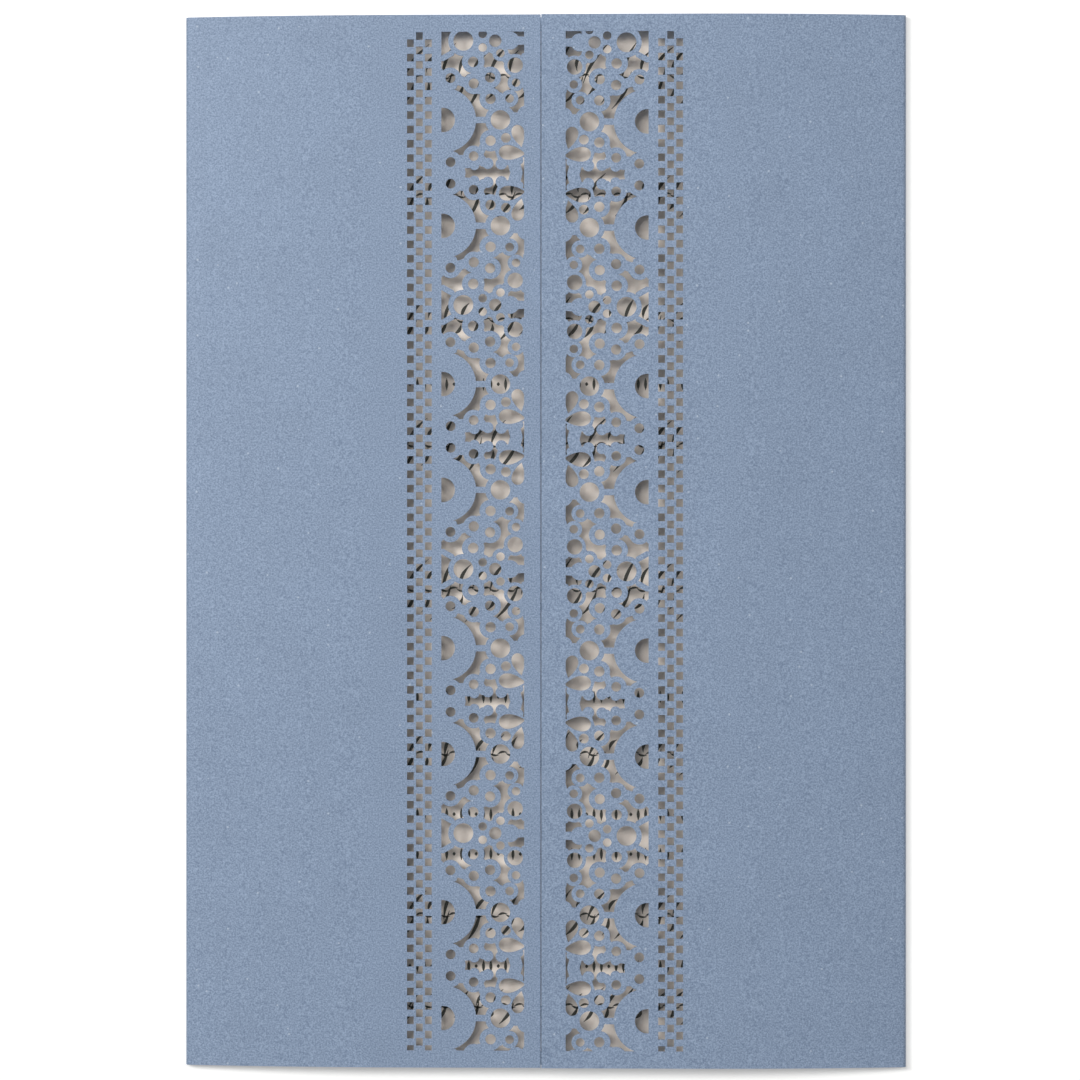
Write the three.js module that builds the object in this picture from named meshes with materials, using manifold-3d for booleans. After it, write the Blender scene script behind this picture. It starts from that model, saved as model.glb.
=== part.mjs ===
// Gatefold invitation cover in laser cut pearlescent card, closed, lying on its back.
// Millimetres. X runs across the card, Y up the card, Z out of its front.
// The origin is under the middle of the back panel.
//
// The cover is one sheet scored at two folds, so the back panel and the two flaps
// meet inside the folds: each fold is a round bend, divided at half its height,
// where the flap turns. Inside, two strips of double sided tape hold an insert card
// that shows through the cut work.
import * as THREE from "three";
import { mergeGeometries, mergeVertices } from "three/addons/utils/BufferGeometryUtils.js";
import Module from "manifold-3d";

const wasm = await Module();
wasm.setup();

// ---- driving dimensions ----
const CARD_WIDTH = 127; // closed cover, fold to fold
const CARD_HEIGHT = 185;
const CARD_THICKNESS = 0.35;

const FOLD_HEIGHT = 1.6; // outer height of the round bend at each fold
const FOLD_CUT = 0.2; // slit at half height, where the sheet turns
const FOLD_STEPS = 3; // flat strips in a quarter bend

const SEAM_OFFSET = 0.6; // the flaps meet this far left of the card's middle
const SEAM_GAP = 0.3; // between the free edges
const FLAP_RISE = 2.2; // how far a flap bows up between its fold and the cut work
const FLAT_MARGIN = 1.2; // flat card between the bow and the cut work
const BOW_STEPS = 6;

const WINDOW_MARGIN = 3; // plain card above and below the cut work
const LACE_FROM_MIDDLE = 3.65; // the card's middle to the lace, on either flap
const LACE_WIDTH = 14.55;
const LACE_REPEAT = 46.4;
const LACE_PHASE_LEFT = 64.7; // a mirror line of the lace, above the card's middle
const LACE_PHASE_RIGHT = 64.3;

const LADDER_TO_LACE = 5.44; // centre of the outermost column of squares to the lace
const SQUARE_WIDTH = 1.25;
const SQUARE_HEIGHT = 1.45;
const SQUARE_PITCH = 2.525;
const SQUARE_INSET = 2; // top of the cut work to the centre of the top square
const SMALLEST_CUT = 0.3; // an opening whose middle is nearer the end is left out

const INSERT_MARGIN = 2.5; // the insert is this much smaller than the card all round
const INSERT_THICKNESS = 0.35;
const TAPE_WIDTH = 6;
const TAPE_THICKNESS = 0.1;
const TAPE_SIDE_MARGIN = 16; // middle of a strip to the insert's side
const TAPE_END_MARGIN = 15; // end of a strip to the insert's end

// ---- what follows from them ----
const windowHalf = CARD_HEIGHT / 2 - WINDOW_MARGIN;
const laceFromFold = CARD_WIDTH / 2 - LACE_FROM_MIDDLE - LACE_WIDTH;
const squareFromFold = laceFromFold - LADDER_TO_LACE;
const bowWidth = squareFromFold - SQUARE_WIDTH / 2 - FLAT_MARGIN;
const squareCount = Math.floor((2 * windowHalf - SQUARE_INSET) / SQUARE_PITCH) + 1;
const insertWidth = CARD_WIDTH - 2 * INSERT_MARGIN;
const insertHeight = CARD_HEIGHT - 2 * INSERT_MARGIN;

// ---- the lace, drawn once for half a repeat ----
// Every point is [across, along]: across from the outer side of the band, along from
// a mirror line of the lace. The drawing is this wide, and half a repeat this long.
const DRAWN_WIDTH = 14.55;
const DRAWN_HALF = 23.2;

// Round eyelets off the mirror lines: [across, along, radius, sides]
const EYELETS = [
  [10.45, 9.35, 1.75, 8],
  [13.0, 18.9, 1.35, 6],
  [1.65, 1.95, 1.0, 4],
  [5.7, 2.95, 1.0, 4],
  [8.7, 5.65, 1.0, 4],
  [8.7, 13.0, 1.0, 4],
  [5.7, 15.75, 1.0, 4],
  [1.6, 16.7, 1.0, 4],
  [8.6, 16.8, 1.0, 4],
  [5.6, 19.5, 1.0, 4],
];
// Round eyelets on the second mirror line
const ROSETTE_EYELETS = [
  [3.9, DRAWN_HALF, 1.75, 8],
  [9.5, DRAWN_HALF, 1.1, 5],
];
// Other openings off the mirror lines
const HALF_MOON = [[0.1, 7.1], [1.5, 7.5], [2.5, 9.3], [1.5, 11.1], [0.1, 11.5]];
const LENS = [[10.1, 3.5], [11.2, 2.3], [12.9, 2.4], [14.5, 3.2], [12.6, 4.6], [10.9, 4.6]];
const TEARDROP = [[14.2, 4.6], [14.5, 7.6], [13.4, 8.3], [12.5, 7.6], [12.9, 6.1]];
const BRANCH = [[2.8, 3.2], [4.0, 3.2], [5.2, 4.4], [6.8, 4.8], [8.3, 7.6], [6.3, 8.6], [5.2, 5.8]];
const CRESCENT = [[12.7, 11.2], [14.1, 11.5], [14.5, 14.2], [13.8, 13.9], [13.7, 12.4]];
const HOOK = [
  [9.8, 14.6], [11.0, 14.1], [12.0, 17.0], [11.1, 19.2], [9.8, 19.8],
  [8.4, 21.1], [7.6, 20.4], [8.1, 18.6], [10.0, 17.7], [10.4, 16.2],
];
const FORK = [[3.6, 17.1], [4.4, 17.8], [3.8, 19.8], [2.6, 20.9], [0.1, 19.7], [0.1, 18.2], [1.9, 18.5]];
const CORNER = [[12.1, 21.1], [14.4, 20.8], [14.4, 22.3], [13.3, 22.1]];
const OPENINGS = [HALF_MOON, LENS, TEARDROP, BRANCH, mirrored(BRANCH, 9.35), CRESCENT, HOOK, FORK, CORNER];
// Half of the long opening on the first mirror line, and of the strip on the second
const BONE_HALF = [[4.3, 0.8], [5.8, 0.5], [8.0, 0.6], [9.2, 1.7], [7.8, 2.9], [9.4, 3.4], [9.6, 1.4], [10.6, 0.45], [11.7, 0.8]];
const STRIP_HALF = [[0.1, DRAWN_HALF - 2.2], [1.4, DRAWN_HALF - 1.5], [1.1, DRAWN_HALF - 0.2]];

function mirrored(outline, along) {
  return outline.map(([a, b]) => [a, 2 * along - b]);
}

// A half outline and its mirror image about a line, as one closed outline
function doubled(half, along) {
  return [...half, ...mirrored(half, along).reverse()];
}

// A regular polygon with one side facing the band's own direction
function eyelet([across, along, radius, sides]) {
  const points = [];
  for (let i = 0; i < sides; i += 1) {
    const angle = ((i + 0.5) * 2 * Math.PI) / sides;
    points.push([across + radius * Math.cos(angle), along + radius * Math.sin(angle)]);
  }
  return points;
}

function laceOutlines() {
  const half = [...EYELETS.map(eyelet), ...OPENINGS];
  return [
    ...half,
    ...half.map((outline) => mirrored(outline, 0)),
    ...ROSETTE_EYELETS.map(eyelet),
    doubled(BONE_HALF, 0),
    doubled(STRIP_HALF, DRAWN_HALF),
  ];
}

// ---- solids ----
function toSolid(geometry) {
  geometry.deleteAttribute("normal");
  geometry.deleteAttribute("uv");
  const merged = mergeVertices(geometry, 1e-4);
  return new wasm.Manifold(
    new wasm.Mesh({
      numProp: 3,
      vertProperties: new Float32Array(merged.attributes.position.array),
      triVerts: new Uint32Array(merged.index.array),
    }),
  );
}

function toGeometry(solid) {
  const mesh = solid.getMesh();
  const geometry = new THREE.BufferGeometry();
  geometry.setAttribute("position", new THREE.BufferAttribute(new Float32Array(mesh.vertProperties), 3));
  geometry.setIndex(new THREE.BufferAttribute(new Uint32Array(mesh.triVerts), 1));
  geometry.computeVertexNormals();
  return geometry;
}

function prism(points, depth) {
  const shape = new THREE.Shape(points.map(([x, y]) => new THREE.Vector2(x, y)));
  return new THREE.ExtrudeGeometry(shape, { depth, bevelEnabled: false, steps: 1 });
}

// A profile in X and Z, carried along the card's height
function sheet(profile) {
  const geometry = prism(profile, CARD_HEIGHT);
  geometry.rotateX(Math.PI / 2);
  geometry.translate(0, CARD_HEIGHT / 2, 0);
  return geometry;
}

// Points of a quarter bend about (radius, 0), from the fold's slit to a tangent
// that climbs by the given slope angle
function bend(outerRadius, radius, slope) {
  const start = Math.PI - Math.asin(FOLD_CUT / 2 / radius);
  const end = Math.PI / 2 + slope;
  const points = [];
  for (let i = 0; i <= FOLD_STEPS; i += 1) {
    const angle = start + ((end - start) * i) / FOLD_STEPS;
    points.push([outerRadius + radius * Math.cos(angle), radius * Math.sin(angle)]);
  }
  return points;
}

// One face of a flap, from the fold's slit to the free edge. The height above the
// bend follows rise * (1 - (1 - q)^2), so the bow leaves the fold at the slope
// where the bend ends and runs out flat.
function flapFace(width, rise, inset) {
  const radius = FOLD_HEIGHT / 2;
  const slope = Math.atan((2 * rise) / (bowWidth - radius));
  const points = bend(radius, radius - inset, slope);
  const [startX, startZ] = points.at(-1);
  const flatZ = radius + rise - inset;
  for (let i = 1; i <= BOW_STEPS; i += 1) {
    const q = i / BOW_STEPS;
    const eased = 1 - (1 - q) ** 2;
    points.push([startX + (bowWidth - startX) * q, startZ + (flatZ - startZ) * eased]);
  }
  points.push([width, flatZ]);
  return points;
}

// Cut outlines of one flap, in its own frame: X from the fold inwards, Y from the
// card's middle upwards
function cutOutlines(lacePhase) {
  const outlines = [];
  const widthScale = LACE_WIDTH / DRAWN_WIDTH;
  const lengthScale = LACE_REPEAT / 2 / DRAWN_HALF;
  const repeats = Math.ceil(CARD_HEIGHT / LACE_REPEAT) + 1;
  for (let k = -1; k <= repeats; k += 1) {
    const middle = lacePhase - k * LACE_REPEAT;
    for (const outline of laceOutlines()) {
      const placed = outline.map(([a, b]) => [laceFromFold + a * widthScale, middle - b * lengthScale]);
      const centre = placed.reduce((sum, [, y]) => sum + y, 0) / placed.length;
      if (Math.abs(centre) < windowHalf - SMALLEST_CUT) outlines.push(placed);
    }
  }
  const halfWidth = SQUARE_WIDTH / 2;
  const halfHeight = SQUARE_HEIGHT / 2;
  for (let i = 0; i < squareCount; i += 1) {
    const y = windowHalf - SQUARE_INSET - i * SQUARE_PITCH;
    outlines.push([
      [squareFromFold - halfWidth, y - halfHeight],
      [squareFromFold + halfWidth, y - halfHeight],
      [squareFromFold + halfWidth, y + halfHeight],
      [squareFromFold - halfWidth, y + halfHeight],
    ]);
  }
  return outlines;
}

function flap(side, rise, lacePhase) {
  const width = CARD_WIDTH / 2 + side * SEAM_OFFSET - SEAM_GAP / 2;
  const face = flapFace(width, rise, 0);
  const underside = flapFace(width, rise, CARD_THICKNESS).reverse();
  const outward = ([x, z]) => [-side * x, z];
  const blank = toSolid(sheet([...face, ...underside].map(outward)));

  const depth = FOLD_HEIGHT + rise;
  const cutters = cutOutlines(lacePhase).map((points) => prism(points.map(outward), depth));
  const clip = new THREE.BoxGeometry(2 * width, 2 * windowHalf, 4 * depth);
  const cuts = toSolid(mergeGeometries(cutters)).intersect(toSolid(clip));
  return toGeometry(blank.subtract(cuts));
}

function backPanel() {
  const radius = FOLD_HEIGHT / 2;
  const half = CARD_WIDTH / 2;
  const outer = bend(radius, radius, 0).map(([x, z]) => [x - half, radius - z]);
  const inner = bend(radius, radius - CARD_THICKNESS, 0).map(([x, z]) => [x - half, radius - z]);
  const across = ([x, z]) => [-x, z];
  return sheet([
    ...outer,
    ...[...outer].reverse().map(across),
    ...inner.map(across),
    ...[...inner].reverse(),
  ]);
}

// ---- materials ----
const card = new THREE.MeshStandardMaterial({ color: 0x8c9eb6, roughness: 0.55, metalness: 0.1 });
const cardStock = new THREE.MeshStandardMaterial({ color: 0xe3d6c2, roughness: 0.7, metalness: 0 });
const adhesive = new THREE.MeshStandardMaterial({ color: 0xe9e6dc, roughness: 0.35, metalness: 0 });

function piece(name, geometry, material, x, y, z) {
  const mesh = new THREE.Mesh(geometry, material);
  mesh.name = name;
  mesh.position.set(x, y, z);
  return mesh;
}

// ---- the cover ----
const cover = new THREE.Group();
cover.add(piece("back_panel", backPanel(), card, 0, 0, 0));

const foldX = CARD_WIDTH / 2;
const foldZ = FOLD_HEIGHT / 2;
// The right flap closes last, so it stands one card's thickness higher
const leftFlap = flap(-1, FLAP_RISE, LACE_PHASE_LEFT);
const rightFlap = flap(1, FLAP_RISE + CARD_THICKNESS, LACE_PHASE_RIGHT);
cover.add(piece("left_flap", leftFlap, card, -foldX, 0, foldZ));
cover.add(piece("right_flap", rightFlap, card, foldX, 0, foldZ));

// The insert lies on its tape, and the tape on the back panel
const insertZ = CARD_THICKNESS + TAPE_THICKNESS + INSERT_THICKNESS / 2;
const insert = new THREE.BoxGeometry(insertWidth, insertHeight, INSERT_THICKNESS);
cover.add(piece("insert_card", insert, cardStock, 0, 0, insertZ));

const tapeX = insertWidth / 2 - TAPE_SIDE_MARGIN;
const tapeLength = insertHeight - 2 * TAPE_END_MARGIN;
const tapeZ = CARD_THICKNESS + TAPE_THICKNESS / 2;
for (const [name, side] of [["tape_left", -1], ["tape_right", 1]]) {
  const tape = new THREE.BoxGeometry(TAPE_WIDTH, tapeLength, TAPE_THICKNESS);
  cover.add(piece(name, tape, adhesive, side * tapeX, 0, tapeZ));
}

export default cover;
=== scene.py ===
import bpy
import numpy as np
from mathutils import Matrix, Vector
from mathutils.geometry import delaunay_2d_cdt


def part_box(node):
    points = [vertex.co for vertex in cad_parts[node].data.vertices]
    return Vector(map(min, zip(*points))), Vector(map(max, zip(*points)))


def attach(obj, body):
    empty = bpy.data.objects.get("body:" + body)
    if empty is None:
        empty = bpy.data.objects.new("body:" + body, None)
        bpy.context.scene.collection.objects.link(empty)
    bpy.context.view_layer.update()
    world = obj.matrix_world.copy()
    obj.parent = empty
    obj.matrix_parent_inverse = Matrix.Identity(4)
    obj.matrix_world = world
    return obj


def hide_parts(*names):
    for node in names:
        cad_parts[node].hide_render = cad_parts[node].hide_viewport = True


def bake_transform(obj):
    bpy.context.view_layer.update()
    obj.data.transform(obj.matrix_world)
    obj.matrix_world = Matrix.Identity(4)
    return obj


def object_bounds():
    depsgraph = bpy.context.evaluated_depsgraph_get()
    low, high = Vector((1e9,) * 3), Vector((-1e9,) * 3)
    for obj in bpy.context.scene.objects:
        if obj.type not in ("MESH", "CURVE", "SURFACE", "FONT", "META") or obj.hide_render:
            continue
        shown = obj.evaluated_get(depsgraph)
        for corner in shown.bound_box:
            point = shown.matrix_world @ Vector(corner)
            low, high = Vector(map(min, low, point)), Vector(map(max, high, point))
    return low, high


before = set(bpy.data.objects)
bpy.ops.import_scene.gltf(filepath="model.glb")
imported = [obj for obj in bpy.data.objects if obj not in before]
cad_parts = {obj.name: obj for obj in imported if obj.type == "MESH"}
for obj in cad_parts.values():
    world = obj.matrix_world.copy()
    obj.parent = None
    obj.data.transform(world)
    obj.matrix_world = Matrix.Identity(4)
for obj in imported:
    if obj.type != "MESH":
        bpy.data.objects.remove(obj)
cad_low, cad_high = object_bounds()


# ---- The two flaps ----
# Each flap is one wing of the cover, cut by laser from pearlescent blue-grey card
# and scored where it turns into the back panel. The cut work is a lace band along
# the free edge and, outside it, a ladder of three columns of small squares.
MM = 0.001
CARD_THICKNESS = 0.35 * MM
CARD_HEIGHT = cad_high.y - cad_low.y
CARD_HALF = 63.5 * MM  # middle of the card to either fold
FOLD_RADIUS = 0.8 * MM  # outer radius of the round bend at a fold
BEND_LENGTH = 1.6 * MM  # length given to the bend in the flat plan
BEND_COLUMNS, BOW_COLUMNS = 13, 20  # points across the bend and across the bow
CARD_ROWS = 75  # points along the height of the flaps and the back panel
FLAP_TOP = {"left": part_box("left_flap")[1].z, "right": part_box("right_flap")[1].z}
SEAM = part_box("left_flap")[1].x
FREE_EDGE = {"left": SEAM, "right": SEAM + 0.13 * MM}  # the flaps all but touch
CUT_HALF_HEIGHT = CARD_HEIGHT / 2 - 3 * MM  # middle of the card to the end of the cut work

LACE_WIDTH = 14.55 * MM
LACE_FROM_FOLD = 45.3 * MM
LACE_HALF_REPEAT = 23.2 * MM
LACE_PHASE = {"left": 64.7 * MM, "right": 64.3 * MM}  # a mirror line, above the middle
REPEATS = range(-1, 6)  # repeats drawn, from above the cut work to below it

SQUARE_WIDTH = 1.18 * MM
SQUARE_HEIGHT = 1.36 * MM
SQUARE_PITCH = 2.525 * MM
COLUMN_PITCH = 1.58 * MM
INNER_COLUMN = LACE_FROM_FOLD - 2.28 * MM  # fold to the middle of the innermost column
OUTER_COLUMN = INNER_COLUMN - 2 * COLUMN_PITCH
TOP_SQUARE = CUT_HALF_HEIGHT - 2 * MM  # middle of the card to the middle of a top square
# Each column of the ladder: fold to its middle, and where its top square lies.
LADDER = [
    (INNER_COLUMN, TOP_SQUARE),
    (INNER_COLUMN - COLUMN_PITCH, TOP_SQUARE + SQUARE_PITCH / 2),
    (OUTER_COLUMN, TOP_SQUARE),
]
FLAT_MARGIN = 1.2 * MM  # flat card on both sides of the cut work
BOW_END = OUTER_COLUMN - SQUARE_WIDTH / 2 - FLAT_MARGIN

# Half a repeat of the lace, in millimetres: across from the band's outer side,
# and along from a mirror line. Rings: across, along, eyelet radius, rim radius.
RINGS = np.array([
    (1.63, 1.90, 0.87, 1.95),
    (5.68, 2.95, 0.86, 1.83),
    (8.65, 5.65, 0.92, 1.89),
    (11.35, 6.14, 0.87, 1.48),
    (10.38, 9.29, 1.72, 2.69),
    (8.65, 13.00, 0.92, 1.96),
    (12.00, 13.05, 0.77, 1.53),
    (5.70, 15.70, 0.91, 1.87),
    (1.60, 16.67, 0.88, 1.83),
    (8.57, 16.75, 0.91, 1.91),
    (13.12, 15.82, 0.75, 1.47),
    (5.60, 19.50, 0.93, 1.98),
    (12.97, 18.90, 1.36, 1.98),
    (10.39, 21.02, 0.76, 1.42),
    (7.27, 22.02, 0.76, 1.36),
    (3.87, 23.20, 1.75, 2.66),
    (9.47, 23.20, 1.10, 1.98),
])
# Plain beads, and webs that tie the rings together: two ends and half the width.
WEBS = np.array([
    (5.80, 1.40, 5.80, 1.40, 0.91), (8.18, 1.65, 8.18, 1.65, 0.98),
    (10.55, 1.57, 10.55, 1.57, 1.01), (12.10, 23.19, 12.10, 23.19, 1.57),
    (0.43, 9.28, 0.43, 9.28, 5.67), (14.94, 10.17, 14.94, 10.17, 1.63),
    (1.56, 0.03, 1.56, 0.03, 2.71), (3.00, 1.95, 4.61, 2.01, 1.21),
    (0.20, 3.20, 0.60, 3.20, 0.76), (7.15, 2.40, 7.32, 1.75, 0.68),
    (6.75, 3.42, 7.35, 4.65, 0.68), (10.20, 2.44, 9.74, 3.90, 0.30),
    (11.37, 2.02, 13.70, 2.20, 0.73), (13.20, 0.11, 12.67, 1.89, 1.08),
    (14.35, 4.90, 14.35, 4.90, 0.48), (12.92, 5.60, 12.92, 5.60, 0.48),
    (6.00, 9.30, 8.41, 9.30, 0.56), (8.71, 7.19, 9.30, 8.00, 0.47),
    (8.70, 11.40, 9.20, 10.90, 0.47), (12.59, 9.66, 13.04, 9.70, 0.93),
    (10.38, 11.91, 10.38, 11.91, 0.58), (10.36, 13.70, 10.36, 13.70, 0.43),
    (6.65, 14.27, 7.60, 15.27, 0.48), (0.43, 15.40, 0.43, 15.40, 0.76),
    (0.00, 15.30, -0.10, 17.92, 0.41), (1.60, 17.60, 2.92, 16.90, 0.66),
    (2.84, 16.35, 4.20, 15.90, 0.88), (6.65, 17.85, 7.33, 18.18, 0.50),
    (0.26, 20.15, 1.80, 21.02, 0.50), (6.00, 21.50, 6.00, 21.50, 0.55),
    (6.60, 23.20, 6.60, 23.20, 0.56), (7.00, 20.67, 7.00, 20.67, 0.55),
    (8.51, 21.60, 9.22, 21.30, 0.45), (11.68, 20.45, 11.68, 20.45, 0.59),
    (11.25, 19.85, 11.25, 19.85, 0.56), (14.90, 14.59, 14.44, 17.60, 0.50),
    (14.60, 19.90, 14.57, 20.48, 0.55), (13.60, 23.25, 14.60, 23.20, 0.70),
    (1.30, 15.27, 2.28, 15.13, 0.43),
])
HALF_MOON = (0.25, 9.3, 2.15)  # across, along, radius, cut flat by the band's side
# Petals: across, along, length, width, turn in degrees, how pointed the tip is
PETALS = [(12.45, 3.52, 4.7, 2.6, -5, 0.9), (13.62, 6.45, 4.0, 2.25, -76, 1.0)]
PETAL_RIM = 0.45
# Points on a round outline. Rings have more from the first radius on, webs from the
# second, both in millimetres.
SMALL_ROUND, LARGE_ROUND, MOON_ROUND, GREAT_ROUND = 20, 32, 40, 64
LARGE_RADIUS, GREAT_RADIUS = 1.2, 5

OUTLINE_REACH = 0.4 * MM  # lace outlines are kept this far beyond the band
END_MARGIN = 0.5 * MM  # squares nearer to the card's ends than this are not drawn
MERGE_DISTANCE = 1e-4  # in millimetres, points that the triangulation takes for one
SMALLEST_HOLE = 0.25 * MM * MM  # a sliver between webs smaller than this stays card


def stadium(ends, radius, count):
    """Round-ended outline: a circle split in two halves, each moved to one end."""
    turn = np.linspace(0, 2 * np.pi, count, endpoint=False)
    across, along = ends[2] - ends[0], ends[3] - ends[1]
    heading = np.arctan2(along, across)
    near = np.cos(turn - heading) < 0
    u = np.where(near, ends[0], ends[2]) + radius * np.cos(turn)
    v = np.where(near, ends[1], ends[3]) + radius * np.sin(turn)
    return np.stack([u, v], -1)


def petal(across, along, length, width, degrees, tip, rim=0.0):
    """Teardrop outline: cosine along, sine times a power of the half-angle sine across."""
    turn = np.linspace(0, 2 * np.pi, LARGE_ROUND, endpoint=False)
    side = np.sin(turn) * np.sin(turn / 2) ** tip
    x = np.cos(turn) * (length / 2 + rim)
    y = side / np.abs(side).max() * (width / 2 + rim)
    c, s = np.cos(np.radians(degrees)), np.sin(np.radians(degrees))
    return np.stack([across + x * c - y * s, along + x * s + y * c], -1)


def lace_outlines():
    """Every outline of half a repeat, in millimetres, as a list of closed point rows."""
    rings = [
        stadium((u, v, u, v), radius, SMALL_ROUND if radius < LARGE_RADIUS else LARGE_ROUND)
        for u, v, *radii in RINGS for radius in radii
    ]
    webs = [
        stadium(ends, radius, GREAT_ROUND if radius > GREAT_RADIUS else SMALL_ROUND)
        for *ends, radius in WEBS
    ]
    petals = [petal(*shape, rim=rim) for shape in PETALS for rim in (0.0, PETAL_RIM)]
    moon = stadium((*HALF_MOON[:2], *HALF_MOON[:2]), HALF_MOON[2], MOON_ROUND)
    return rings + webs + petals + [moon]


def inside(points, outline):
    """Which points lie in an outline: an odd number of its sides cross a ray to the right."""
    x, y = points[:, 0:1], points[:, 1:2]
    x0, y0 = outline[:, 0], outline[:, 1]
    x1, y1 = np.roll(x0, -1), np.roll(y0, -1)
    rise = np.where(y1 == y0, 1e-12, y1 - y0)
    crossing = ((y0 > y) != (y1 > y)) & (x < (x1 - x0) * (y - y0) / rise + x0)
    return crossing.sum(1) % 2 == 1


def lace_is_open(u, v):
    """Where the lace is cut through: in an eyelet, petal or half moon, or off all card.

    Takes millimetres across the band and along it from a mirror line. The distance
    along is folded into half a repeat, and the card's shapes are tried there and in
    the mirror images that reach over the fold's two ends.
    """
    half = LACE_HALF_REPEAT / MM
    v = np.abs((v + half) % (2 * half) - half)
    card = np.zeros(len(u), bool)
    cut = np.zeros(len(u), bool)
    for image in (v, -v, 2 * half - v):
        for across, along, eyelet, rim in RINGS:
            distance = np.hypot(u - across, image - along)
            card |= distance < rim
            cut |= distance < eyelet
        for u0, v0, u1, v1, radius in WEBS:
            du, dv = u1 - u0, v1 - v0
            t = ((u - u0) * du + (image - v0) * dv) / max(du * du + dv * dv, 1e-9)
            t = np.clip(t, 0, 1)
            card |= np.hypot(u - u0 - t * du, image - v0 - t * dv) < radius
        cut |= np.hypot(u - HALF_MOON[0], image - HALF_MOON[1]) < HALF_MOON[2]
    points = np.stack([u, v], -1)
    for shape in PETALS:
        card |= inside(points, petal(*shape, rim=PETAL_RIM))
        cut |= inside(points, petal(*shape))
    return cut | ~card


def card_is_cut(points, side):
    """Which points of a flap's plan, in metres from the fold and the middle, are cut away."""
    u, v = points[:, 0], points[:, 1]
    in_reach = np.abs(v) < CUT_HALF_HEIGHT
    band = in_reach & (u > LACE_FROM_FOLD) & (u < LACE_FROM_FOLD + LACE_WIDTH)
    cut = np.zeros(len(points), bool)
    across, along = u[band] - LACE_FROM_FOLD, LACE_PHASE[side] - v[band]
    cut[band] = lace_is_open(across / MM, along / MM)
    for middle, top in LADDER:
        step = (v - top + SQUARE_PITCH / 2) % SQUARE_PITCH - SQUARE_PITCH / 2
        square = (np.abs(u - middle) < SQUARE_WIDTH / 2) & (np.abs(step) < SQUARE_HEIGHT / 2)
        cut |= in_reach & square
    return cut


def plan_outlines(side):
    """Outlines of one flap's lace, squares and windows, from the fold and the card's middle.

    The windows are the two rectangles that bound the band and the ladder.
    """
    half = lace_outlines()
    drawn = half + [outline * (1, -1) for outline in half]
    lace = []
    for repeat in REPEATS:
        middle = LACE_PHASE[side] - repeat * 2 * LACE_HALF_REPEAT
        lace += [outline * (MM, -MM) + (LACE_FROM_FOLD, middle) for outline in drawn]
    corners = np.array([(-1, -1), (1, -1), (1, 1), (-1, 1)]) / 2
    squares = []
    for middle, top in LADDER:
        rows = np.arange(top, -CUT_HALF_HEIGHT - SQUARE_PITCH, -SQUARE_PITCH)
        squares += [corners * (SQUARE_WIDTH, SQUARE_HEIGHT) + (middle, row) for row in rows]
    band_reach = (LACE_FROM_FOLD, LACE_FROM_FOLD + LACE_WIDTH)
    ladder_reach = (OUTER_COLUMN - SQUARE_WIDTH, INNER_COLUMN + SQUARE_WIDTH)
    windows = [
        np.array([(low, -1), (high, -1), (high, 1), (low, 1)]) * (1, CUT_HALF_HEIGHT)
        for low, high in (band_reach, ladder_reach)
    ]
    return lace, squares, windows


def sides_of(triangles):
    """The three sides of every triangle, each in the triangle's own direction."""
    return np.concatenate([triangles[:, [0, 1]], triangles[:, [1, 2]], triangles[:, [2, 0]]])


def islands(triangles, kind):
    """Labels triangles that share sides and kind, by passing the lowest label across sides."""
    sides = np.sort(sides_of(triangles), 1)
    owner = np.tile(np.arange(len(triangles)), 3)
    key = sides[:, 0].astype(np.int64) * (triangles.max() + 1) + sides[:, 1]
    order = np.argsort(key, kind="stable")
    pair = key[order][1:] == key[order][:-1]
    a, b = owner[order][:-1][pair], owner[order][1:][pair]
    same = kind[a] == kind[b]
    a, b = a[same], b[same]
    label = np.arange(len(triangles))
    while True:
        low = np.minimum(label[a], label[b])
        new = label.copy()
        np.minimum.at(new, a, low)
        np.minimum.at(new, b, low)
        new = new[new]
        if (new == label).all():
            return label
        label = new


def remaining_card(plan, triangles, side):
    """The flap when the cut work has dropped out: the largest island, all turned up.

    Holes smaller than SMALLEST_HOLE are filled first.
    """
    cut = card_is_cut(plan[triangles].mean(1), side)
    a, b, c = plan[triangles[:, 0]], plan[triangles[:, 1]], plan[triangles[:, 2]]
    area = ((b - a)[:, 0] * (c - a)[:, 1] - (b - a)[:, 1] * (c - a)[:, 0]) / 2
    triangles[area < 0] = triangles[area < 0][:, ::-1]
    label = islands(triangles, cut)
    cut &= np.bincount(label, np.abs(area), len(triangles))[label] > SMALLEST_HOLE
    label = islands(triangles, cut)
    size = np.bincount(label, np.abs(area) * ~cut, len(triangles))
    triangles = triangles[label == size.argmax()]
    used = np.unique(triangles)
    renumber = np.zeros(len(plan), int)
    renumber[used] = np.arange(len(used))
    return plan[used], renumber[triangles]


def near_lace(outline):
    """Which points of an outline lie in the lace band or within OUTLINE_REACH of it."""
    u, v = outline[:, 0], np.abs(outline[:, 1])
    low, high = LACE_FROM_FOLD - OUTLINE_REACH, LACE_FROM_FOLD + LACE_WIDTH + OUTLINE_REACH
    return (u > low) & (u < high) & (v < CUT_HALF_HEIGHT + OUTLINE_REACH)


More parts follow.
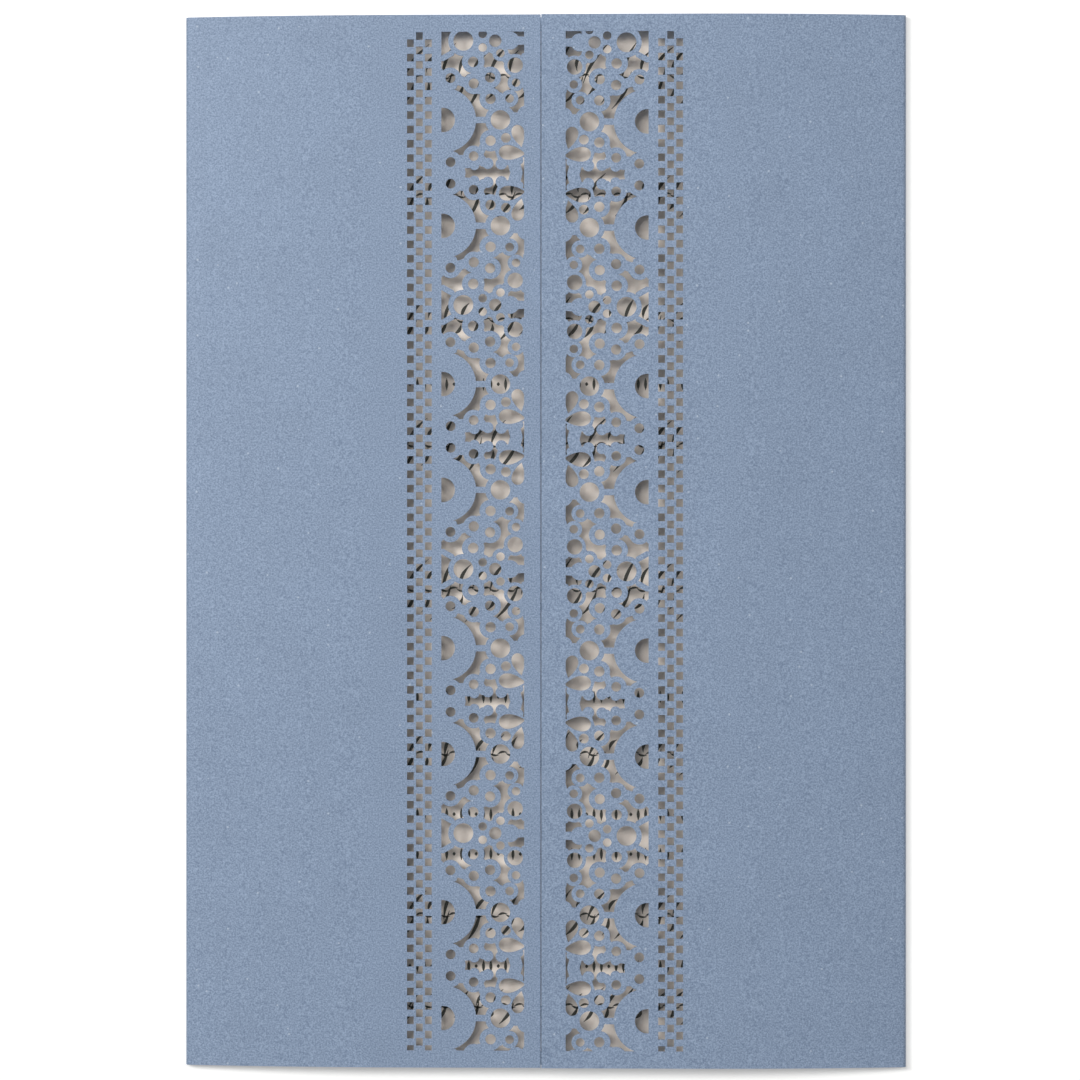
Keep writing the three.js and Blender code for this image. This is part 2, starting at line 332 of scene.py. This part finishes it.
def flap_plan(side):
    """Flat triangles of one flap, laid out from the bend's start to the free edge.

    The outlines of the cut work and a coarse grid are triangulated together, and the
    triangles whose middle is cut away are dropped.
    """
    width = CARD_HALF + FREE_EDGE["left"] if side == "left" else CARD_HALF - FREE_EDGE["right"]
    across = np.concatenate([
        np.linspace(-BEND_LENGTH, FOLD_RADIUS, BEND_COLUMNS),
        np.linspace(FOLD_RADIUS, BOW_END, BOW_COLUMNS)[1:],
        [LACE_FROM_FOLD + LACE_WIDTH + FLAT_MARGIN, width],
    ])
    along = np.linspace(-CARD_HEIGHT / 2, CARD_HEIGHT / 2, CARD_ROWS)
    grid = np.stack(np.meshgrid(across, along, indexing="ij"), -1)
    edge = np.concatenate([grid[:, 0], grid[-1, 1:], grid[-2::-1, -1], grid[0, -2:0:-1]])
    lace, squares, windows = plan_outlines(side)
    drawn = [(outline, near_lace(outline)) for outline in lace]
    limit = CARD_HEIGHT / 2 - END_MARGIN
    drawn += [(outline, np.abs(outline[:, 1]) < limit) for outline in squares + windows]
    drawn.append((edge, np.ones(len(edge), bool)))

    points, sides, offset = [grid.reshape(-1, 2)], [], grid.size // 2
    for outline, kept in drawn:
        own = np.arange(len(outline))
        following = np.roll(own, -1)
        whole = kept & kept[following]
        points.append(outline)
        sides.append(np.stack([own, following], -1)[whole] + offset)
        offset += len(outline)
    points, sides = np.concatenate(points), np.concatenate(sides)
    used = np.zeros(len(points), bool)
    used[: grid.size // 2] = True
    used[sides] = True
    renumber = np.cumsum(used) - 1
    flat = [Vector(p) for p in (points[used] / MM).tolist()]
    made = delaunay_2d_cdt(flat, renumber[sides].tolist(), [], 0, MERGE_DISTANCE, False)
    plan = np.array([tuple(p) for p in made[0]]) * MM
    return remaining_card(plan, np.array(made[2]), side)


def flap_surface(u, side, inset):
    """Height profile of a flap: across and up, for a distance in the plan.

    The bend is an arc from the back panel up and over to the angle at which the bow
    leaves it. The bow is a parabola, rise times (1 - (1 - q) squared), then flat.
    """
    top = FLAP_TOP[side]
    rise = top - 2 * FOLD_RADIUS
    slope = np.arctan(2 * rise / (BOW_END - FOLD_RADIUS))
    swing = np.clip((FOLD_RADIUS - u) / (FOLD_RADIUS + BEND_LENGTH), 0, 1)
    angle = np.pi / 2 + slope + (np.pi - slope) * swing
    radius = FOLD_RADIUS - inset
    bend_x = FOLD_RADIUS + radius * np.cos(angle)
    bend_z = FOLD_RADIUS + radius * np.sin(angle)
    start_x = FOLD_RADIUS + radius * np.cos(np.pi / 2 + slope)
    start_z = FOLD_RADIUS + radius * np.sin(np.pi / 2 + slope)
    q = np.clip((u - FOLD_RADIUS) / (BOW_END - FOLD_RADIUS), 0, 1)
    bow_x = np.where(u < BOW_END, start_x + (BOW_END - start_x) * q, u)
    bow_z = start_z + (top - inset - start_z) * (1 - (1 - q) ** 2)
    bent = u < FOLD_RADIUS
    return np.where(bent, bend_x, bow_x), np.where(bent, bend_z, bow_z)


def sheet_mesh(name, top, bottom, triangles, face, wall):
    """Closed sheet: the triangles on top, the same turned over below, and walls between.

    A wall stands on each side of a triangle that no other triangle shares. The faces
    are shaded smooth and stay sharp where they meet a wall.
    """
    count = len(top)
    sides = sides_of(triangles)
    key = sides[:, 0].astype(np.int64) * count + sides[:, 1]
    back = sides[:, 1].astype(np.int64) * count + sides[:, 0]
    a, b = sides[~np.isin(key, back)].T
    walls = np.concatenate([
        np.stack([a, a + count, b + count], -1),
        np.stack([a, b + count, b], -1),
    ])
    faces = np.concatenate([triangles, triangles[:, ::-1] + count, walls])
    mesh = bpy.data.meshes.new(name)
    mesh.from_pydata(np.concatenate([top, bottom]).tolist(), [], faces.tolist())
    is_wall = np.arange(len(faces)) >= 2 * len(triangles)
    mesh.polygons.foreach_set("material_index", is_wall.astype(np.int32))
    mesh.polygons.foreach_set("use_smooth", ~is_wall)
    mesh.validate()
    ends = np.empty(2 * len(mesh.edges), np.int32)
    mesh.edges.foreach_get("vertices", ends)
    ends = np.sort(ends.reshape(-1, 2), 1)
    rim = np.sort(np.concatenate([np.stack([a, b], -1), np.stack([a, b], -1) + count]), 1)
    sharp = np.isin(ends @ (2 * count, 1), rim @ (2 * count, 1))
    mesh.attributes.new("sharp_edge", "BOOLEAN", "EDGE").data.foreach_set("value", sharp)
    mesh.materials.append(face)
    mesh.materials.append(wall)
    piece = bpy.data.objects.new(name, mesh)
    bpy.context.collection.objects.link(piece)
    return piece


def linear(hex_colour):
    """sRGB hex to linear red, green, blue and full alpha."""
    value = np.array([int(hex_colour[i:i + 2], 16) for i in (1, 3, 5)]) / 255
    value = np.where(value <= 0.04045, value / 12.92, ((value + 0.055) / 1.055) ** 2.4)
    return (*value.tolist(), 1.0)


def add_node(tree, kind, inputs=None, **settings):
    """Adds a node, sets what is given, and links each input that is an output socket."""
    made = tree.nodes.new(kind)
    for key, value in settings.items():
        setattr(made, key, value)
    for key, value in (inputs or {}).items():
        if isinstance(value, bpy.types.NodeSocket):
            tree.links.new(value, made.inputs[key])
        else:
            made.inputs[key].default_value = value
    return made


def new_material(name):
    """An empty material and its node tree."""
    material = bpy.data.materials.new(name)
    material.use_nodes = True
    material.node_tree.nodes.clear()
    return material, material.node_tree


def mottle(tree, size, dark, light, detail=2.0):
    """Noise of one grain size over the piece, and the colours it runs between."""
    place = add_node(tree, "ShaderNodeTexCoord").outputs["Object"]
    noise = add_node(tree, "ShaderNodeTexNoise", {
        "Vector": place, "Scale": 1 / size, "Detail": detail,
    }).outputs["Fac"]
    tone = add_node(tree, "ShaderNodeValToRGB", {"Fac": noise})
    tone.color_ramp.elements[0].color = linear(dark)
    tone.color_ramp.elements[1].color = linear(light)
    return noise, tone.outputs["Color"]


# Pearlescent card: pulp dyed blue-grey with a thin mica coat. It has the pulp's own
# grain, larger clouds, and pale flecks of mica every few millimetres.
CARD_DARK = "#627590"
CARD_LIGHT = "#9dafc8"
DARK_UP_TO, LIGHT_FROM = 0.30, 0.72  # of the grain's noise
GRAIN = 0.27 * MM
CLOUD = 9 * MM
CLOUD_STRENGTH = 0.07
FLECK_COLOUR = "#c3cfdd"
FLECK_SPACING = 1.8 * MM
FLECK_RADIUS = 0.10  # of the spacing
WITHOUT_FLECK = 0.78  # share of the places that have none
FLECK_STRENGTH = 0.6
GRAIN_DEPTH = 0.05 * MM


def pearlescent_card():
    material, tree = new_material("pearlescent_card")
    place = add_node(tree, "ShaderNodeTexCoord").outputs["Object"]
    grain = add_node(tree, "ShaderNodeTexNoise", {
        "Vector": place, "Scale": 1 / GRAIN, "Detail": 2.0, "Roughness": 0.6,
    }).outputs["Fac"]
    cloud = add_node(tree, "ShaderNodeTexNoise", {
        "Vector": place, "Scale": 1 / CLOUD, "Detail": 3.0,
    }).outputs["Fac"]
    tone = add_node(tree, "ShaderNodeValToRGB", {"Fac": grain})
    tone.color_ramp.elements[0].position = DARK_UP_TO
    tone.color_ramp.elements[0].color = linear(CARD_DARK)
    tone.color_ramp.elements[1].position = LIGHT_FROM
    tone.color_ramp.elements[1].color = linear(CARD_LIGHT)
    clouded = add_node(tree, "ShaderNodeMix", {
        "Factor": CLOUD_STRENGTH, "A": tone.outputs["Color"], "B": cloud,
    }, data_type="RGBA", blend_type="OVERLAY")
    cells = add_node(tree, "ShaderNodeTexVoronoi", {"Vector": place, "Scale": 1 / FLECK_SPACING})
    near = add_node(tree, "ShaderNodeMath", {
        0: cells.outputs["Distance"], 1: FLECK_RADIUS,
    }, operation="LESS_THAN")
    chance = add_node(tree, "ShaderNodeSeparateColor", {"Color": cells.outputs["Color"]})
    some = add_node(tree, "ShaderNodeMath", {
        0: chance.outputs["Red"], 1: WITHOUT_FLECK,
    }, operation="GREATER_THAN")
    fleck = add_node(tree, "ShaderNodeMath", {
        0: near.outputs[0], 1: some.outputs[0],
    }, operation="MULTIPLY")
    strength = add_node(tree, "ShaderNodeMath", {
        0: fleck.outputs[0], 1: FLECK_STRENGTH,
    }, operation="MULTIPLY")
    colour = add_node(tree, "ShaderNodeMix", {
        "Factor": strength.outputs[0], "A": clouded.outputs["Result"],
        "B": linear(FLECK_COLOUR),
    }, data_type="RGBA")
    bump = add_node(tree, "ShaderNodeBump", {
        "Height": grain, "Strength": 0.25, "Distance": GRAIN_DEPTH,
    })
    rough = add_node(tree, "ShaderNodeMapRange", {
        "Value": grain, "To Min": 0.48, "To Max": 0.66,
    })
    shader = add_node(tree, "ShaderNodeBsdfPrincipled", {
        "Base Color": colour.outputs["Result"], "Roughness": rough.outputs["Result"],
        "Normal": bump.outputs["Normal"], "Metallic": 0.08,
        "Sheen Weight": 0.08, "Sheen Roughness": 0.4,
    })
    add_node(tree, "ShaderNodeOutputMaterial", {"Surface": shader.outputs["BSDF"]})
    return material


def cut_edge():
    # Laser cut edge: the pulp without its coat, a paler grey, matt and a little fibrous.
    material, tree = new_material("laser_cut_card_edge")
    _, tone = mottle(tree, 0.15 * MM, "#8b97a8", "#b9c2cf")
    shader = add_node(tree, "ShaderNodeBsdfPrincipled", {"Base Color": tone, "Roughness": 0.8})
    add_node(tree, "ShaderNodeOutputMaterial", {"Surface": shader.outputs["BSDF"]})
    return material


card = pearlescent_card()
edge_of_card = cut_edge()
for side, sign in (("left", 1), ("right", -1)):
    plan, triangles = flap_plan(side)
    if sign < 0:
        triangles = triangles[:, ::-1]
    layers = []
    for inset in (0.0, CARD_THICKNESS):
        x, z = flap_surface(plan[:, 0], side, inset)
        layers.append(np.stack([sign * (x - CARD_HALF), plan[:, 1], z], -1))
    flap = sheet_mesh(f"{side}_flap_card", *layers, triangles, card, edge_of_card)
    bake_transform(flap)
    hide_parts(f"{side}_flap")


# ---- The back panel ----
# The same sheet of card as the flaps, flat between the two bends. Its edges at the
# bends lie on those of the flaps.
PANEL_COLUMNS = 40


def at_heights(plan, *heights):
    """Copies of a plan, one at each height."""
    return [np.column_stack([plan, np.full(len(plan), z)]) for z in heights]


def flat_sheet(name, x, y, top, bottom, face, wall):
    """Rectangular sheet over a grid of x and y, with two triangles to each cell."""
    plan = np.stack(np.meshgrid(x, y, indexing="ij"), -1).reshape(-1, 2)
    rows = len(y)
    corner = (np.arange(len(x) - 1)[:, None] * rows + np.arange(rows - 1)).ravel()
    first = np.stack([corner, corner + rows, corner + rows + 1], -1)
    second = np.stack([corner, corner + rows + 1, corner + 1], -1)
    triangles = np.concatenate([first, second])
    return sheet_mesh(name, *at_heights(plan, top, bottom), triangles, face, wall)


back = flat_sheet(
    "back_panel_card",
    np.linspace(-CARD_HALF + FOLD_RADIUS, CARD_HALF - FOLD_RADIUS, PANEL_COLUMNS),
    np.linspace(-CARD_HEIGHT / 2, CARD_HEIGHT / 2, CARD_ROWS),
    CARD_THICKNESS, 0.0, card, edge_of_card,
)
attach(back, "back")
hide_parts("back_panel")


# ---- The insert card and its tape ----
# A smooth ivory card with a pearl finish, guillotined square, held to the back panel
# by two strips of double sided tape.
insert_low, insert_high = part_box("insert_card")
INSERT_COLUMNS, INSERT_ROWS = 30, 44


def ivory_card():
    # Coated ivory board: near smooth, warm, with a soft pearl sheen and faint mottle.
    material, tree = new_material("ivory_pearl_card")
    noise, tone = mottle(tree, 0.6 * MM, "#f7e7d8", "#fff5ea", detail=3.0)
    bump = add_node(tree, "ShaderNodeBump", {
        "Height": noise, "Strength": 0.1, "Distance": 0.02 * MM,
    })
    shader = add_node(tree, "ShaderNodeBsdfPrincipled", {
        "Base Color": tone, "Roughness": 0.42, "Normal": bump.outputs["Normal"],
        "Sheen Weight": 0.1,
    })
    add_node(tree, "ShaderNodeOutputMaterial", {"Surface": shader.outputs["BSDF"]})
    return material


def adhesive_tape():
    # Tissue tape: milky, slightly glossy adhesive on both faces.
    material, tree = new_material("double_sided_tape")
    _, tone = mottle(tree, 1.5 * MM, "#dcd8cc", "#efece2")
    shader = add_node(tree, "ShaderNodeBsdfPrincipled", {"Base Color": tone, "Roughness": 0.35})
    add_node(tree, "ShaderNodeOutputMaterial", {"Surface": shader.outputs["BSDF"]})
    return material


ivory = ivory_card()
insert = flat_sheet(
    "insert_card_sheet",
    np.linspace(insert_low.x, insert_high.x, INSERT_COLUMNS),
    np.linspace(insert_low.y, insert_high.y, INSERT_ROWS),
    insert_high.z, insert_low.z, ivory, ivory,
)
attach(insert, "back")
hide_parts("insert_card")

tape = adhesive_tape()
for strip in ("tape_left", "tape_right"):
    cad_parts[strip].data.materials.clear()
    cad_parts[strip].data.materials.append(tape)


# ---- The print on the insert ----
# Dark olive ink in plain ornament: rows of a leafy vine, and rows of dots and short
# bars. Each mark is a very thin raised film of ink.
INK_FILM = 0.012 * MM
PRINT_HALF_WIDTH = 46 * MM
STROKE_POINTS = 9  # points along each side of a stroke
BLUNT_END = 0.12  # width left at a stroke's ends, as a share of its middle

# Each vine: where it lies on the card, and how tall it is
VINE_ROWS = np.array([
    (82, 11), (61, 7), (39, 7), (17, 9), (-8.5, 10), (-37.5, 7), (-66, 8), (-82, 6),
]) * MM
LEAF_PITCH = 1.45 * MM
LEAF_WIDTH = 0.62 * MM
STEM_OFFSET = 0.72 * MM  # from a leaf to the stem's arc beside it
STEM_LENGTH = 1.9 * MM
STEM_WIDTH = 0.4 * MM
STEM_BOW = 0.3 * MM

BAR_ROWS = np.array([27.7, -27.5, -48.2, -55.2, -75]) * MM
BAR_PITCH = 1.3 * MM
BAR_LENGTH = 2.2 * MM
DOT_LENGTH = 0.7 * MM
BAR_WIDTH = 0.55 * MM


def ink_strokes(name, ink, centre, length, width, angle, bow):
    """Leaf-shaped strokes as one mesh: a line bowed by a parabola, its half width a half sine."""
    t = np.linspace(0, 1, STROKE_POINTS)
    along = (t - 0.5)[None, :] * length[:, None]
    across = bow[:, None] * (1 - (2 * t - 1) ** 2)[None, :]
    half = width[:, None] / 2 * np.maximum(np.sin(np.pi * t), BLUNT_END)[None, :]
    c, s = np.cos(angle)[:, None], np.sin(angle)[:, None]
    rows = []
    for side in (1, -1):
        offset = across + side * half
        x = centre[:, 0:1] + along * c - offset * s
        y = centre[:, 1:2] + along * s + offset * c
        rows.append(np.stack([x, y], -1))
    plan = np.stack(rows, 1).reshape(-1, 2)
    near = np.arange(len(length))[:, None] * 2 * STROKE_POINTS + np.arange(STROKE_POINTS - 1)
    far = near + STROKE_POINTS
    quads = np.stack([near, far, far + 1, near + 1], -1).reshape(-1, 4)
    triangles = np.concatenate([quads[:, [0, 1, 2]], quads[:, [0, 2, 3]]])
    layers = at_heights(plan, insert_high.z + INK_FILM, insert_high.z)
    return sheet_mesh(name, *layers, triangles, ink, ink)


def vine_marks():
    """Leaves set along each vine, alternately above and below, with a stem of short arcs.

    The leaves' length and lean vary by sines of their number.
    """
    centre, length, width, angle, bow = [], [], [], [], []
    for row, height in VINE_ROWS:
        x = np.arange(-PRINT_HALF_WIDTH, PRINT_HALF_WIDTH, LEAF_PITCH)
        turn = np.arange(len(x))
        up = np.where(turn % 2 == 0, 1, -1)
        centre.append(np.stack([x, row + up * height * 0.22], -1))
        length.append(height * (0.55 + 0.25 * np.sin(turn * 1.7)))
        width.append(np.full(len(x), LEAF_WIDTH))
        angle.append(np.radians(62 + 10 * np.sin(turn * 2.3)))
        bow.append(up * height * 0.06)
        centre.append(np.stack([x + STEM_OFFSET, np.full(len(x), row)], -1))
        length.append(np.full(len(x), STEM_LENGTH))
        width.append(np.full(len(x), STEM_WIDTH))
        angle.append(np.radians(12) * up)
        bow.append(up * STEM_BOW)
    return [np.concatenate(values) for values in (centre, length, width, angle, bow)]


def bar_marks():
    """Rows of short upright bars with a dot after every two."""
    centre, length = [], []
    for row in BAR_ROWS:
        x = np.arange(-PRINT_HALF_WIDTH, PRINT_HALF_WIDTH, BAR_PITCH)
        bars = np.arange(len(x)) % 3 != 2
        centre.append(np.stack([x, np.full(len(x), row)], -1))
        length.append(np.where(bars, BAR_LENGTH, DOT_LENGTH))
    centre, length = np.concatenate(centre), np.concatenate(length)
    count = len(length)
    return centre, length, np.full(count, BAR_WIDTH), np.full(count, np.pi / 2), np.zeros(count)


def printing_ink():
    # Offset ink on coated board: near black olive, a little more matt than the card.
    material, tree = new_material("olive_printing_ink")
    _, tone = mottle(tree, 0.4 * MM, "#1d1e18", "#33342a")
    shader = add_node(tree, "ShaderNodeBsdfPrincipled", {"Base Color": tone, "Roughness": 0.5})
    add_node(tree, "ShaderNodeOutputMaterial", {"Surface": shader.outputs["BSDF"]})
    return material


ink = printing_ink()
for name, marks in (("printed_vines", vine_marks()), ("printed_bars", bar_marks())):
    marks_piece = ink_strokes(name, ink, *marks)
    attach(marks_piece, "back")


# ---- Floor, light and camera ----
# The cover lies on a plain white surface under three softboxes, with most of the
# light from the left. The camera looks down from very slightly right of straight above.
PHOTO_WIDTH = 190.2 * MM  # what the photograph spans at the card
CAMERA_DISTANCE = 0.6
CAMERA_YAW = np.radians(1.3)
AIM = Vector((-0.0009, 0.0002, 0.002))  # the point in the middle of the picture
FLOOR_SIZE = 3
FLOOR_DROP = 0.05 * MM  # gap that keeps the floor from cutting the card's underside
FLOOR_GLOW = 0.35  # lifts the floor to white where it is looked at
FILL_STRENGTH = 0.06  # light from all around
BACKDROP_STRENGTH = 1.0
WHITE = (1, 1, 1, 1)


def looked_at(tree):
    """One for rays from the camera, off a gloss or through glass, zero for all others."""
    rays = add_node(tree, "ShaderNodeLightPath").outputs
    seen = add_node(tree, "ShaderNodeMath", {
        0: rays["Is Camera Ray"], 1: rays["Is Glossy Ray"],
    }, operation="MAXIMUM")
    return add_node(tree, "ShaderNodeMath", {
        0: seen.outputs[0], 1: rays["Is Transmission Ray"],
    }, operation="MAXIMUM").outputs[0]


bpy.ops.mesh.primitive_plane_add(size=FLOOR_SIZE, location=(0, 0, -FLOOR_DROP))
floor = bpy.context.object
floor.name = "floor"
# White table top: smooth matt laminate, lit evenly enough to read as plain white.
white, tree = new_material("white_table_top")
diffuse = add_node(tree, "ShaderNodeBsdfPrincipled", {
    "Base Color": linear("#f4f4f2"), "Roughness": 0.9, "Specular IOR Level": 0.1,
}).outputs[0]
glow = add_node(tree, "ShaderNodeEmission", {"Color": WHITE, "Strength": FLOOR_GLOW})
both = add_node(tree, "ShaderNodeAddShader", {0: diffuse, 1: glow.outputs[0]})
mixed = add_node(tree, "ShaderNodeMixShader", {
    0: looked_at(tree), 1: diffuse, 2: both.outputs[0],
})
add_node(tree, "ShaderNodeOutputMaterial", {"Surface": mixed.outputs[0]})
floor.data.materials.append(white)

world = bpy.data.worlds.new("studio")
bpy.context.scene.world = world
world.use_nodes = True
tree = world.node_tree
tree.nodes.clear()
fill = add_node(tree, "ShaderNodeBackground", {"Color": WHITE, "Strength": FILL_STRENGTH})
backdrop = add_node(tree, "ShaderNodeBackground", {
    "Color": WHITE, "Strength": BACKDROP_STRENGTH,
})
mixed = add_node(tree, "ShaderNodeMixShader", {
    0: looked_at(tree), 1: fill.outputs[0], 2: backdrop.outputs[0],
})
add_node(tree, "ShaderNodeOutputWorld", {"Surface": mixed.outputs[0]})


def softbox(name, place, size, power):
    """Square area light turned to the card: place and size in metres, power in watts."""
    light = bpy.data.lights.new(name, "AREA")
    light.size = size
    light.energy = power
    lamp = bpy.data.objects.new(name, light)
    lamp.location = place
    lamp.rotation_euler = (-Vector(place)).to_track_quat("-Z", "Y").to_euler()
    bpy.context.collection.objects.link(lamp)


softbox("left_softbox", (-1.10, 0.55, 1.30), 0.6, 17.0)
softbox("overhead_softbox", (-0.50, 0.60, 1.80), 0.9, 11.0)
softbox("right_softbox", (1.10, 0.45, 1.30), 0.6, 6.5)

camera = bpy.data.objects.new("camera", bpy.data.cameras.new("camera"))
camera.data.lens = camera.data.sensor_width * CAMERA_DISTANCE / PHOTO_WIDTH
camera.data.clip_start = 0.01
camera.location = AIM + CAMERA_DISTANCE * Vector((np.sin(CAMERA_YAW), 0, np.cos(CAMERA_YAW)))
camera.rotation_euler = (0, CAMERA_YAW, 0)
bpy.context.collection.objects.link(camera)
bpy.context.scene.camera = camera
bpy.context.scene.view_settings.view_transform = "Standard"
